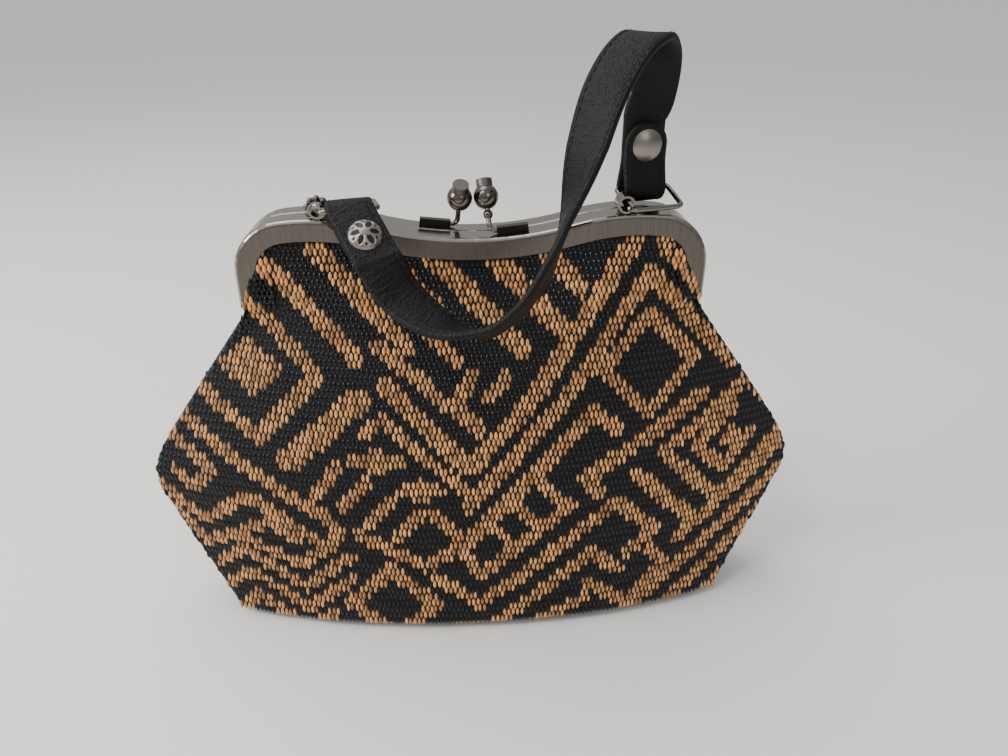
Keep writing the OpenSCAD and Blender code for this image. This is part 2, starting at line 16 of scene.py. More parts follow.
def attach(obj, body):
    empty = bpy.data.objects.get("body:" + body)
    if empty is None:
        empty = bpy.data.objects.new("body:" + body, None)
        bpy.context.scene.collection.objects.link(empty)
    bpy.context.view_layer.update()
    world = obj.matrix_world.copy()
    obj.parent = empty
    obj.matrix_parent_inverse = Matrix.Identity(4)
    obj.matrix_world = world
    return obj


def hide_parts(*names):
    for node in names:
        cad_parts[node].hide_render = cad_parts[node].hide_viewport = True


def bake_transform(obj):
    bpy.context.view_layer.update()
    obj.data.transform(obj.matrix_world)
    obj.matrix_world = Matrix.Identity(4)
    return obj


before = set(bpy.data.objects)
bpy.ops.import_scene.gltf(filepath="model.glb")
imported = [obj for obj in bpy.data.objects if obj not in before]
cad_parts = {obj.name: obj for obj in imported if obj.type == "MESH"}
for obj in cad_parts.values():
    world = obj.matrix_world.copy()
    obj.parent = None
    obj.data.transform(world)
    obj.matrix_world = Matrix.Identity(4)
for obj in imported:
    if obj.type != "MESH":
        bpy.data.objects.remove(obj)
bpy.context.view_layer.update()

LOG = logging.getLogger("handbag")
MM = 0.001
# Name of the mesh value at each float point: the float's random colour and the painted shade at its tips
TONE_AND_PAINTED_SHADE = "tone"
TINY = 1e-12
UP = np.array([0, 0, 1.0])


class Side(Enum):
    """The two faces of the bag, with the direction in which each one looks along Y."""

    FRONT = -1
    BACK = 1


class Yarn(Enum):
    """The two colours of straw in the weave."""

    TAN = "tan"
    BLACK = "black"


class Rivet(Enum):
    """The strap's two rivets: where each flowered head sits, in millimetres, and which way it looks."""

    LEFT = ((-38.3591, -26.0157, 178.9), (0.111099, -0.633254, 0.765929))
    RIGHT = ((65.0592, 6.70415, 203.391), (-0.190809, 0.981627, 0))


class Spot(NamedTuple):
    """Where one float lies: on the cloth, in the pattern (in millimetres), and whether it laps over the frame."""

    place: Vector
    normal: Vector
    cell: tuple[float, float]
    length: float
    lapped: bool


def linear(code: str) -> tuple[float, float, float, float]:
    """Turns an sRGB hex value into linear colour.

    Args:
        code: Colour such as "#C88F55".

    Returns:
        Linear red, green and blue, and an alpha of one.
    """
    parts = [int(code[i : i + 2], 16) / 255 for i in (1, 3, 5)]
    return (*[c / 12.92 if c <= 0.04045 else ((c + 0.055) / 1.055) ** 2.4 for c in parts], 1.0)


def blank(name: str) -> tuple[bpy.types.Material, bpy.types.NodeTree, bpy.types.Node]:
    """Starts a material.

    Args:
        name: Name of the finish.

    Returns:
        The material, its node tree and its shader.
    """
    made = bpy.data.materials.new(name)
    made.use_nodes = True
    return made, made.node_tree, made.node_tree.nodes["Principled BSDF"]


def add(tree: bpy.types.NodeTree, kind: str, settings: dict | None = None,
        links: dict | None = None) -> bpy.types.Node:
    """Adds a node, sets its properties and sockets, and links its inputs.

    Args:
        tree: Node tree that gets the node.
        kind: Blender's name of the node's type.
        settings: Properties or input sockets, by name or index, and their values.
        links: Input sockets, by name or index, and the outputs that feed them.

    Returns:
        The new node.
    """
    node = tree.nodes.new(kind)
    for name, value in (settings or {}).items():
        if isinstance(name, str) and hasattr(node, name):
            setattr(node, name, value)
        else:
            node.inputs[name].default_value = value
    for name, source in (links or {}).items():
        tree.links.new(source, node.inputs[name])
    return node


def unit(v: np.ndarray) -> np.ndarray:
    """Returns vectors of length one along the last axis."""
    return v / np.maximum(np.linalg.norm(v, axis=-1, keepdims=True), TINY)


def grid(rows: int, columns: int, closed: bool = True, base: int = 0,
         flip: bool = False) -> list[tuple[int, int, int, int]]:
    """Returns the faces of a grid of points that are numbered row by row.

    Args:
        rows: Number of rows.
        columns: Points in a row.
        closed: Whether each row runs round to its first point.
        base: Number of the first point.
        flip: Whether the faces look the other way.

    Returns:
        Corners of each face.
    """
    faces = [(base + j * columns + i, base + j * columns + (i + 1) % columns,
              base + (j + 1) * columns + (i + 1) % columns, base + (j + 1) * columns + i)
             for j in range(rows - 1) for i in range(columns if closed else columns - 1)]
    return [(a, d, c, b) for a, b, c, d in faces] if flip else faces


def mesh_object(name: str, points: np.ndarray, faces: list | np.ndarray,
                finishes: list[bpy.types.Material]) -> bpy.types.Object:
    """Makes a smooth-shaded mesh object and links it to the scene.

    Args:
        name: Name of the piece.
        points: Vertices in metres, one per row.
        faces: Vertex indices of each face.
        finishes: Materials of the piece's slots.

    Returns:
        The new object.
    """
    mesh = bpy.data.meshes.new(name)
    mesh.from_pydata([tuple(p) for p in points], [], [tuple(f) for f in faces])
    mesh.polygons.foreach_set("use_smooth", [True] * len(mesh.polygons))
    for finish in finishes:
        mesh.materials.append(finish)
    mesh.update()
    piece = bpy.data.objects.new(name, mesh)
    bpy.context.scene.collection.objects.link(piece)
    return piece


@dataclass(frozen=True)
class StrawFinish:
    """Extruded paper-like straw: flat glossy fibres, their colour random from float to float, with painted shade at the
    tips.
    """

    name: str
    dark: str
    light: str
    roughness: float
    ior: float
    fibre_mm: float = 0.35
    # The fibres are drawn out along the float, and shade its tone a little
    fibre_stretch: tuple[float, float, float] = (1.0, 1.0, 0.08)
    fibre_detail: float = 2.0
    fibre_share: float = 0.5
    # Tones at which the straw is dark and light
    tone_span: tuple[float, float] = (0.25, 1.25)

    def material(self) -> bpy.types.Material:
        """Builds the straw: a random colour for each float with painted shade towards its tips, which its mesh carries,
        and fine fibres along it.

        Returns:
            The material.
        """
        made, tree, shader = blank(self.name)
        place = add(tree, "ShaderNodeTexCoord").outputs["Object"]
        # Each float's random colour, darkened by painted shade towards its tips
        tone = add(tree, "ShaderNodeAttribute", {"attribute_name": TONE_AND_PAINTED_SHADE})
        flat = add(tree, "ShaderNodeVectorMath", {"operation": "MULTIPLY", 1: self.fibre_stretch}, {0: place})
        fibre = add(tree, "ShaderNodeTexNoise", {"Scale": 1 / (self.fibre_mm * MM), "Detail": self.fibre_detail},
                    {"Vector": flat.outputs["Vector"]})
        both = add(tree, "ShaderNodeMath", {"operation": "MULTIPLY_ADD", 1: self.fibre_share},
                   {0: fibre.outputs["Fac"], 2: tone.outputs["Fac"]})
        low, high = self.tone_span
        spread = add(tree, "ShaderNodeMapRange", {"From Min": low, "From Max": high}, {"Value": both.outputs["Value"]})
        colour = add(tree, "ShaderNodeMix", {"data_type": "RGBA", 6: linear(self.dark), 7: linear(self.light)},
                     {0: spread.outputs["Result"]})
        tree.links.new(colour.outputs[2], shader.inputs["Base Color"])
        shader.inputs["Roughness"].default_value = self.roughness
        shader.inputs["IOR"].default_value = self.ior
        return made


@dataclass(frozen=True)
class GunmetalFinish:
    """Gunmetal plate over zinc: polished on edges and wire, brushed upright on flat faces."""

    name: str
    colour: str
    face_dark: str
    face_light: str
    polished: float
    brushed: float
    # The brush marks are drawn coarser than real ones, so that they show
    brush_mm: float = 0.17
    brush_stretch: tuple[float, float, float] = (1.0, 0.2, 0.015)
    brush_span: tuple[float, float] = (0.3, 0.7)
    brush_strength: float = 0.25
    brush_deep_mm: float = 0.08
    # A face is flat where it looks this much along Y
    flat_span: tuple[float, float] = (0.9, 0.98)
    # Faint smudges change the gloss
    smudge_mm: float = 9.0
    smudge_rough: float = 0.12
    detail: float = 3.0

    def material(self) -> bpy.types.Material:
        """Builds the metal; faces that look along Y take the upright brush marks.

        Returns:
            The material.
        """
        made, tree, shader = blank(self.name)
        coords = add(tree, "ShaderNodeTexCoord")
        facing = add(tree, "ShaderNodeSeparateXYZ", links={0: coords.outputs["Normal"]})
        flat = add(tree, "ShaderNodeMath", {"operation": "ABSOLUTE"}, {0: facing.outputs["Y"]})
        low, high = self.flat_span
        face = add(tree, "ShaderNodeMapRange", {"From Min": low, "From Max": high}, {"Value": flat.outputs["Value"]})
        along = add(tree, "ShaderNodeVectorMath", {"operation": "MULTIPLY", 1: self.brush_stretch},
                    {0: coords.outputs["Object"]})
        brush = add(tree, "ShaderNodeTexNoise", {"Scale": 1 / (self.brush_mm * MM), "Detail": self.detail},
                    {"Vector": along.outputs["Vector"]})
        smudge = add(tree, "ShaderNodeTexNoise", {"Scale": 1 / (self.smudge_mm * MM), "Detail": self.detail},
                     {"Vector": coords.outputs["Object"]})
        gloss = add(tree, "ShaderNodeMix", {2: self.polished, 3: self.brushed}, {0: face.outputs["Result"]})
        rough = add(tree, "ShaderNodeMath", {"operation": "MULTIPLY_ADD", 1: self.smudge_rough},
                    {0: smudge.outputs["Fac"], 2: gloss.outputs[0]})
        tree.links.new(rough.outputs["Value"], shader.inputs["Roughness"])
        marks = add(tree, "ShaderNodeMath", {"operation": "MULTIPLY"},
                    {0: brush.outputs["Fac"], 1: face.outputs["Result"]})
        bump = add(tree, "ShaderNodeBump", {"Strength": self.brush_strength, "Distance": self.brush_deep_mm * MM},
                   {"Height": marks.outputs["Value"]})
        tree.links.new(bump.outputs["Normal"], shader.inputs["Normal"])
        low, high = self.brush_span
        lines = add(tree, "ShaderNodeMapRange", {"From Min": low, "From Max": high}, {"Value": brush.outputs["Fac"]})
        tint = add(tree, "ShaderNodeMix", {"data_type": "RGBA", 6: linear(self.face_dark), 7: linear(self.face_light)},
                   {0: lines.outputs["Result"]})
        colour = add(tree, "ShaderNodeMix", {"data_type": "RGBA", 6: linear(self.colour)},
                     {0: face.outputs["Result"], 7: tint.outputs[2]})
        tree.links.new(colour.outputs[2], shader.inputs["Base Color"])
        shader.inputs["Metallic"].default_value = 1.0
        return made


@dataclass(frozen=True)
class LeatherFinish:
    """Black calf leather: fine creases across the strap and a satin top coat."""

    name: str
    colour: str
    roughness: float
    crease_mm: float
    depth_mm: float
    # The creases are drawn out across the strap and warped
    crease_stretch: tuple[float, float, float] = (1.0, 0.3, 1.0)
    crease_detail: float = 4.0
    crease_warp: float = 0.6
    # Pores are narrower than the creases and less deep
    pore_size: float = 0.5
    pore_share: float = 0.3
    strength: float = 0.8
    ior: float = 1.32

    def material(self) -> bpy.types.Material:
        """Builds the leather; the creases run across the strap in its UV map, which is in metres.

        Returns:
            The material.
        """
        made, tree, shader = blank(self.name)
        place = add(tree, "ShaderNodeTexCoord").outputs["UV"]
        stretch = add(tree, "ShaderNodeVectorMath", {"operation": "MULTIPLY", 1: self.crease_stretch}, {0: place})
        crease = add(tree, "ShaderNodeTexNoise", {"Scale": 1 / (self.crease_mm * MM), "Detail": self.crease_detail,
                                                  "Distortion": self.crease_warp},
                     {"Vector": stretch.outputs["Vector"]})
        pores = add(tree, "ShaderNodeTexVoronoi", {"Scale": 1 / (self.pore_size * self.crease_mm * MM)},
                    {"Vector": place})
        both = add(tree, "ShaderNodeMath", {"operation": "MULTIPLY_ADD", 1: self.pore_share},
                   {0: pores.outputs["Distance"], 2: crease.outputs["Fac"]})
        bump = add(tree, "ShaderNodeBump", {"Strength": self.strength, "Distance": self.depth_mm * MM},
                   {"Height": both.outputs["Value"]})
        tree.links.new(bump.outputs["Normal"], shader.inputs["Normal"])
        shader.inputs["Base Color"].default_value = linear(self.colour)
        shader.inputs["Roughness"].default_value = self.roughness
        shader.inputs["IOR"].default_value = self.ior
        return made


@dataclass(frozen=True)
class PlainFinish:
    """A plain finish: sewing thread, lining cloth, weft backing, satin or dark metal, or the studio's paper."""

    name: str
    colour: str
    roughness: float
    metallic: float = 0.0

    def material(self) -> bpy.types.Material:
        """Builds the plain finish.

        Returns:
            The material.
        """
        made, _, shader = blank(self.name)
        shader.inputs["Base Color"].default_value = linear(self.colour)
        shader.inputs["Roughness"].default_value = self.roughness
        shader.inputs["Metallic"].default_value = self.metallic
        return made


@dataclass(frozen=True)
class Finishes:
    """All the materials of the bag, built once."""

    # Glossy tan straw, warm with pale glints along each float; its dark colour also gives the painted shade at the
    # floats' tips
    tan: bpy.types.Material = field(default_factory=StrawFinish(
        "tan straw", dark="#2E1203", light="#F0AE6A", roughness=0.3, ior=1.45).material)
    # Dyed black straw, with a cold bluish gloss; the painted shade at the floats' tips darkens it a little
    black: bpy.types.Material = field(default_factory=StrawFinish(
        "black straw", dark="#010203", light="#060A10", roughness=0.18, ior=1.38).material)
    # Dark weft that shows between the floats
    weft: bpy.types.Material = field(default_factory=PlainFinish(
        "dark weft", colour="#080707", roughness=0.9).material)
    # Matt woven lining
    lining: bpy.types.Material = field(default_factory=PlainFinish(
        "cotton lining", colour="#1D1B1A", roughness=0.9).material)
    # Gunmetal plate: bright rolled edges and a brown-grey brushed face
    plate: bpy.types.Material = field(default_factory=GunmetalFinish(
        "brushed gunmetal", colour="#958F88", face_dark="#5A544E", face_light="#706A63",
        polished=0.1, brushed=0.36).material)
    # Gunmetal plate polished on wire, tubes and posts
    polish: bpy.types.Material = field(default_factory=GunmetalFinish(
        "polished gunmetal", colour="#7C7770", face_dark="#7C7770", face_light="#7C7770",
        polished=0.06, brushed=0.06).material)
    # Darker polished gunmetal of the balls
    smoke: bpy.types.Material = field(default_factory=GunmetalFinish(
        "smoked gunmetal", colour="#66605A", face_dark="#66605A", face_light="#66605A",
        polished=0.08, brushed=0.08).material)
    # Satin gunmetal of the rivets
    satin: bpy.types.Material = field(default_factory=PlainFinish(
        "satin gunmetal", colour="#8A847D", roughness=0.34, metallic=1.0).material)
    # Duller turned gunmetal of the knobs' caps
    turned: bpy.types.Material = field(default_factory=PlainFinish(
        "turned gunmetal", colour="#645E58", roughness=0.4, metallic=1.0).material)
    # Near-black gunmetal of the knobs' feet, and blackened gunmetal of the flowers' hollows
    black_metal: bpy.types.Material = field(default_factory=PlainFinish(
        "blackened gunmetal", colour="#37332F", roughness=0.32, metallic=1.0).material)
    # Grained outer side of the strap, its creases drawn deeper than real ones, so that they show
    grain: bpy.types.Material = field(default_factory=LeatherFinish(
        "grained calf leather", colour="#040404", roughness=0.5, crease_mm=1.3, depth_mm=0.8).material)
    # Smooth brown-black inner side of the strap
    flesh: bpy.types.Material = field(default_factory=LeatherFinish(
        "smooth strap backing", colour="#0E0A08", roughness=0.6, crease_mm=2.4, depth_mm=0.1).material)
    # Waxed black thread
    thread: bpy.types.Material = field(default_factory=PlainFinish(
        "waxed thread", colour="#040404", roughness=0.8).material)


@dataclass(frozen=True)
class Stroke:
    """A tan band of the pattern along a bent line, in millimetres on the cloth."""

    width: float
    line: tuple[tuple[float, float], ...]

    def covers(self, x: np.ndarray, z: np.ndarray) -> np.ndarray:
        """Returns where the band lies.

        Args:
            x: Places across the panel.
            z: Places up the panel.

        Returns:
            A truth value for each place.
        """
        inside = np.zeros(x.shape, dtype=bool)
        for (ax, az), (bx, bz) in zip(self.line, self.line[1:]):
            dx, dz = bx - ax, bz - az
            along = np.clip(((x - ax) * dx + (z - az) * dz) / (dx * dx + dz * dz), 0, 1)
            inside |= np.hypot(x - ax - along * dx, z - az - along * dz) < self.width / 2
        return inside


@dataclass(frozen=True)
class Diamond:
    """A filled tan diamond of the pattern, in millimetres on the cloth."""

    x: float
    z: float
    half_wide: float
    half_high: float

    def covers(self, x: np.ndarray, z: np.ndarray) -> np.ndarray:
        """Returns where the diamond lies."""
        return np.abs(x - self.x) / self.half_wide + np.abs(z - self.z) / self.half_high < 1


@dataclass(frozen=True)
class Pattern:
    """The maze of tan bands, hooks, combs and diamonds that both panels carry on their black ground."""

    diamonds: tuple[Diamond, ...] = (
        Diamond(-90, 122, 15, 12), Diamond(-42, 86, 16, 6), Diamond(-24, 73, 13, 6), Diamond(110, 83, 7, 7))
    # Bands round the left diamond and under the frame's left half
    upper_left: tuple[Stroke, ...] = (
        Stroke(6.8, ((-117, 114), (-89, 93), (-63, 121), (-88, 150))), Stroke(6.5, ((-106, 140), (-93, 154))),
        Stroke(7.4, ((-80, 166), (-47, 129))), Stroke(7.4, ((-60, 170), (-27, 134))),
        Stroke(7.0, ((-40, 172), (-10, 142))), Stroke(6.3, ((-38, 134), (-28, 124))),
        Stroke(10.2, ((-78, 84), (-47, 112))), Stroke(6.8, ((-130, 104), (-98, 80), (-66, 60))))
    # Bands under the frame's middle, and the bars between the chevrons
    upper_middle: tuple[Stroke, ...] = (
        Stroke(8.1, ((-18, 168), (18, 132))), Stroke(8.1, ((4, 168), (32, 140))), Stroke(7.2, ((26, 168), (40, 154))),
        Stroke(6.5, ((-24, 122), (-14, 111))), Stroke(6.5, ((-2, 122), (-9, 110), (0, 99))),
        Stroke(5.9, ((11, 121), (4, 112))), Stroke(5.9, ((-18, 138), (-8, 128))))
    # Chevrons that open upwards, with long arms to the right
    chevrons: tuple[Stroke, ...] = (
        Stroke(7.4, ((-36, 118), (-4, 82), (22, 112), (62, 172))),
        Stroke(6.8, ((-5, 65), (36, 112), (68, 158), (96, 128))),
        Stroke(6.8, ((-20, 62), (-6, 47), (46, 104), (56, 96))))
    # Combs of short slanted bars
    combs: tuple[Stroke, ...] = tuple(
        Stroke(5.9, ((x - 5, z - 6), (x + 5, z + 6))) for x, z in ((-63, 76), (-52, 70), (-41, 63), (-30, 56))) + tuple(
        Stroke(5.5, ((x - 5, z + 5), (x + 5, z - 6))) for x, z in ((9, 51), (19, 60), (29, 70)))
    # Ring of the right diamond, shoulder bands and the nested angles that point left
    right: tuple[Stroke, ...] = (
        Stroke(6.3, ((69, 142), (90, 121), (70, 101), (50, 121), (69, 142))), Stroke(7.0, ((72, 170), (118, 120))),
        Stroke(6.3, ((88, 170), (128, 126))), Stroke(6.3, ((96, 128), (107, 116))),
        Stroke(7.0, ((94, 105), (44, 75), (49, 68))), Stroke(7.0, ((66, 74), (95, 46))),
        Stroke(6.5, ((114, 106), (78, 82), (105, 55), (134, 80))),
        Stroke(5.9, ((110, 97), (93, 83), (106, 70), (120, 84))),
        Stroke(5.9, ((116, 107), (134, 90))), Stroke(5.9, ((124, 114), (138, 100))))
    # Hooks at the left corner
    hooks: tuple[Stroke, ...] = (
        Stroke(5.7, ((-140, 80), (-130, 90), (-112, 76), (-122, 66), (-130, 73))),
        Stroke(5.7, ((-140, 66), (-120, 50), (-98, 66), (-88, 60), (-66, 44), (-58, 52), (-68, 60))),
        Stroke(5.7, ((-132, 52), (-120, 38), (-90, 54), (-78, 46))), Stroke(5.7, ((-52, 52), (-24, 36))))
    # Nested angles at the lower left and the ring of the lower diamond
    lower_left: tuple[Stroke, ...] = (
        Stroke(5.4, ((-108, 46), (-78, 34), (-62, 46))), Stroke(5.4, ((-46, 98), (-38, 104), (-6, 72))),
        Stroke(5.7, ((-116, 28), (-104, 38), (-77, 22), (-56, 40))),
        Stroke(5.5, ((-114, 16), (-102, 27), (-77, 10), (-56, 28))),
        Stroke(5.2, ((-108, 4), (-100, 14), (-78, -1), (-66, 8))),
        Stroke(6.8, ((-39, 34), (-20, 15), (-38, -3), (-57, 15), (-39, 34))))
    # Zigzags along the base and the long bands that rise to the right edge
    lower_right: tuple[Stroke, ...] = (
        Stroke(6.3, ((-24, 36), (-10, 45), (0, 31), (38, 63))),
        Stroke(6.5, ((-20, 30), (-1, 15), (58, 62), (76, 45), (64, 35))),
        Stroke(6.3, ((-12, 2), (4, 2), (48, 38), (60, 27))), Stroke(6.3, ((46, 22), (66, 7), (82, 26), (74, 34))),
        Stroke(7.0, ((68, 6), (138, 62))), Stroke(6.5, ((22, 1), (46, 14))), Stroke(7.0, ((84, 2), (132, 42))),
        Stroke(6.5, ((104, 2), (126, 22))), Stroke(7.0, ((88, 38), (134, 74))))

    def is_tan(self, x: np.ndarray, z: np.ndarray) -> np.ndarray:
        """Returns where the cloth is tan.

        Args:
            x: Places across the panel in millimetres.
            z: Places up the panel in millimetres.

        Returns:
            A truth value for each place.
        """
        shapes = (self.diamonds + self.upper_left + self.upper_middle + self.chevrons + self.combs + self.right
                  + self.hooks + self.lower_left + self.lower_right)
        return np.any([shape.covers(x, z) for shape in shapes], axis=0)


@dataclass
class WovenPouch:
    """The front and back panels with their straw floats, and the lining behind them."""

    finishes: Finishes
    pattern: Pattern = field(default_factory=Pattern)
    column_mm: float = 1.94
    # The rows lie a little closer together towards the frame
    low_row_mm: float = 3.5
    high_row_mm: float = 2.7
    # Length of a float in rows, and its width and height
    float_length: float = 1.52
    float_wide_mm: float = 1.56
    float_high_mm: float = 0.98
    # A float is a pointed spindle: places along its half length, and the shares of its width and height there
    spindle: tuple[tuple[float, float, float], ...] = (
        (-1.0, 0.1, -0.3), (-0.62, 0.66, 0.6), (-0.22, 1.0, 1.0), (0.22, 1.0, 1.0), (0.62, 0.66, 0.6), (1.0, 0.1, -0.3))
    # Points across a float of each colour, and how far it sinks into the backing
    tan_points: int = 5
    black_points: int = 4
    sink_mm: float = 0.3
    # Half the width and the heights in which floats are looked for
    reach_mm: float = 142.0
    low_mm: float = 3.3
    high_mm: float = 172.0
    # Rays that look for the cloth start this far out, in front and at the ends
    ray_front_mm: float = 100.0
    ray_end_mm: float = 200.0
    # A panel's face looks at least this much along Y; its narrow ends look along X, and lie this far out
    face_normal: float = 0.5
    end_normal: float = 0.7
    end_slant: float = 0.5
    end_out_mm: float = 80.0
    end_columns: int = 14
    # The cloth puffs out over the lower ends of the frame's legs, less far up towards the outer edge
    leg_end_mm: float = 147.1
    leg_out_mm: float = 90.0
    leg_wide_mm: float = 11.0
    # How far inwards it puffs, in widths of a leg, and how far out
    puff: float = 1.3
    puff_mm: float = 1.2
    # There the cloth laps this far up the leg, with longer floats on a backing that lies just off the metal
    lap_mm: float = 21.0
    lap_length: float = 1.65
    lap_lift_mm: float = 0.25
    lap_from: float = 0.05
    lap_under_mm: float = 2.0
    lap_columns: int = 16
    lap_rows: int = 12
    # No two floats lie or look quite alike, and each has painted shade that darkens it towards its tips
    stray_mm: float = 0.1
    stray_along: float = 2.0
    tone_span: tuple[float, float] = (0.35, 1.05)
    tip_painted_shade: float = 0.5
    seed: int = 11
    # The backing and the lining are cut into short edges, fine enough to bend in a curve
    weld_mm: float = 0.001
    cut_mm: float = 4.5
    cut_passes: int = 3
    # Start and end of the cloth's bend from the pouch to the frame: Y and Z in metres
    bend_start: tuple[float, float] = (0.0, 0.121)
    bend_end: tuple[float, float] = (0.0321, 0.1593)

    def build(self) -> None:
        """Builds both panels and both halves of the lining."""
        for side in Side:
            self.dress_panel(side)

    def dress_panel(self, side: Side) -> None:
        """Builds one panel's backing, floats and lining.

        Args:
            side: Face of the bag.
        """
        word = side.name.lower()
        rail = self.tree(f"{word}_rail")
        panel = self.tree(f"{word}_panel")
        backing = self.copied(f"{word}_weft", f"{word}_panel", self.finishes.weft)
        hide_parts(f"{word}_panel")
        lining = self.copied(f"{word}_lining_cloth", f"{word}_lining", self.finishes.lining)
        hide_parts(f"{word}_lining")
        lap = self.lap(f"{word}_lap_weft", side, panel, rail)
        rows = self.rows(side, panel)
        spots = self.face_spots(side, panel, rail, rows) + self.edge_spots(side, panel, rows)
        centres, normals, cells, lengths, lapped = (np.array(values) for values in zip(*spots))
        tan = self.pattern.is_tan(cells[:, 0] * -side.value, cells[:, 1])
        soft, sewn = [(backing, "straw_weave"), (lining, "lining")], [lap]
        for yarn, chosen, across, finish in ((Yarn.TAN, tan, self.tan_points, self.finishes.tan),
                                             (Yarn.BLACK, ~tan, self.black_points, self.finishes.black)):
            for part, picked in (("straw", chosen & ~lapped), ("lap_straw", chosen & lapped)):
                piece = self.floats(f"{word}_{yarn.value}_{part}", centres[picked], normals[picked], lengths[picked],
                                    across, finish)
                if part == "straw":
                    soft.append((piece, "straw_weave"))
                else:
                    sewn.append(piece)
        for piece in sewn:
            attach(piece, f"{word}_frame")
            LOG.info("%s: %d faces", piece.name, len(piece.data.polygons))
        for piece, slot in soft:
            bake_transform(piece)
            LOG.info("%s: %d faces", piece.name, len(piece.data.polygons))

    def tree(self, node: str) -> BVHTree:
        """Returns a search tree over a solid's surface."""
        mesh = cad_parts[node].data
        return BVHTree.FromPolygons([v.co for v in mesh.vertices], [p.vertices for p in mesh.polygons])

    def copied(self, name: str, node: str, finish: bpy.types.Material) -> bpy.types.Object:
        """Returns a smooth copy of a soft solid, cut finely enough to bend in a curve.

        Args:
            name: Name of the piece.
            node: Name of the solid.
            finish: Material of the piece.

        Returns:
            The piece.
        """
        cut = bmesh.new()
        cut.from_mesh(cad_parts[node].data)
        bmesh.ops.remove_doubles(cut, verts=cut.verts, dist=self.weld_mm * MM)
        for _ in range(self.cut_passes):
            long = [edge for edge in cut.edges if edge.calc_length() > self.cut_mm * MM]
            bmesh.ops.subdivide_edges(cut, edges=long, cuts=1)
            bmesh.ops.triangulate(cut, faces=cut.faces)
        cut.verts.index_update()
        points = np.array([v.co for v in cut.verts])
        faces = [[v.index for v in face.verts] for face in cut.faces]
        cut.free()
        return mesh_object(name, points, faces, [finish])

    def ray(self, side: Side, x: float, z: float) -> tuple[Vector, Vector]:
        """Returns the start and the direction of a ray at a panel's face, from a place in millimetres."""
        return Vector((x * MM, side.value * self.ray_front_mm * MM, z * MM)), Vector((0, -side.value, 0))

    def lap(self, name: str, side: Side, panel: BVHTree, rail: BVHTree) -> bpy.types.Object:
        """Builds the dark backing where the cloth puffs out over the lower ends of the frame's legs.

        Args:
            name: Name of the piece.
            side: Face of the bag.
            panel: Surface of the panel.
            rail: Surface of the frame half.

        Returns:
            The piece.
        """
        points, faces = [], []
        for end in (-1, 1):
            found = {}
            for i, share in enumerate(np.linspace(self.lap_from, self.puff, self.lap_columns)):
                x = end * (self.leg_out_mm - share * self.leg_wide_mm)
                top = self.leg_end_mm + self.lap_mm * min(1.0, share)
                for j, z in enumerate(np.linspace(self.leg_end_mm - self.lap_under_mm, top, self.lap_rows)):
                    start, ahead = self.ray(side, x, z)
                    hits = [hit for hit in (rail.ray_cast(start, ahead), panel.ray_cast(start, ahead)) if hit[0]]
                    if hits:
                        found[i, j] = len(points)
                        points.append(min(hits, key=lambda hit: hit[3])[0] - ahead * (self.lap_lift_mm * MM))
            for i in range(self.lap_columns - 1):
                for j in range(self.lap_rows - 1):
                    corners = ((i, j), (i + 1, j), (i + 1, j + 1), (i, j + 1))
                    if all(corner in found for corner in corners):
                        faces.append([found[corner] for corner in corners])
        used = sorted({index for face in faces for index in face})
        place = {index: k for k, index in enumerate(used)}
        return mesh_object(name, np.array([points[index] for index in used]),
                           [[place[index] for index in face] for face in faces], [self.finishes.weft])

    def rows(self, side: Side, panel: BVHTree) -> list[tuple[int, float, float]]:
        """Places the rows of floats at even steps along the cloth, from the base up.

        Args:
            side: Face of the bag.
            panel: Surface of the panel.

        Returns:
            Number, height and pitch of each row, in millimetres.
        """
        found: list[tuple[int, float, float]] = []
        height = self.low_mm
        while height < self.high_mm:
            share = (height - self.low_mm) / (self.high_mm - self.low_mm)
            pitch = self.low_row_mm + (self.high_row_mm - self.low_row_mm) * share
            found.append((len(found), height, pitch))
            hits = [panel.ray_cast(*self.ray(side, 0, h))[0] for h in (height, height + 1)]
            lean = abs(hits[1].y - hits[0].y) / MM if all(hits) else 0
            height += pitch / math.hypot(1, lean)
        return found

    def face_spots(self, side: Side, panel: BVHTree, rail: BVHTree, rows: list) -> list[Spot]:
        """Finds the floats on the broad face of a panel.

        Args:
            side: Face of the bag.
            panel: Surface of the panel.
            rail: Surface of the frame half, which hides the cloth inside it.
            rows: Number, height and pitch of each row.

        Returns:
            The floats' spots.
        """
        half = int(self.reach_mm / self.column_mm)
        spots = []
        for j, z, pitch in rows:
            for i in range(-half, half + 1):
                x = (i + 0.5 * (j % 2)) * self.column_mm
                start, ahead = self.ray(side, x, z)
                spot, normal, _, far = panel.ray_cast(start, ahead)
                if spot is None or normal.y * side.value < self.face_normal:
                    continue
                metal, metal_normal, _, near = rail.ray_cast(start, ahead)
                inward = (self.leg_out_mm - abs(x)) / self.leg_wide_mm
                puffed = 0 < inward < self.puff and z < self.leg_end_mm + self.lap_mm * min(1, inward)
                covered = metal is not None and near < far
                if covered and not puffed:
                    continue
                if covered:
                    spot, normal = metal - ahead * (self.lap_lift_mm * MM), metal_normal
                elif puffed and z > self.leg_end_mm:
                    spot = spot + normal * (self.puff_mm * MM)
                length = self.lap_length if covered else self.float_length
                spots.append(Spot(spot, normal, (x, z), pitch * length, covered))
        return spots

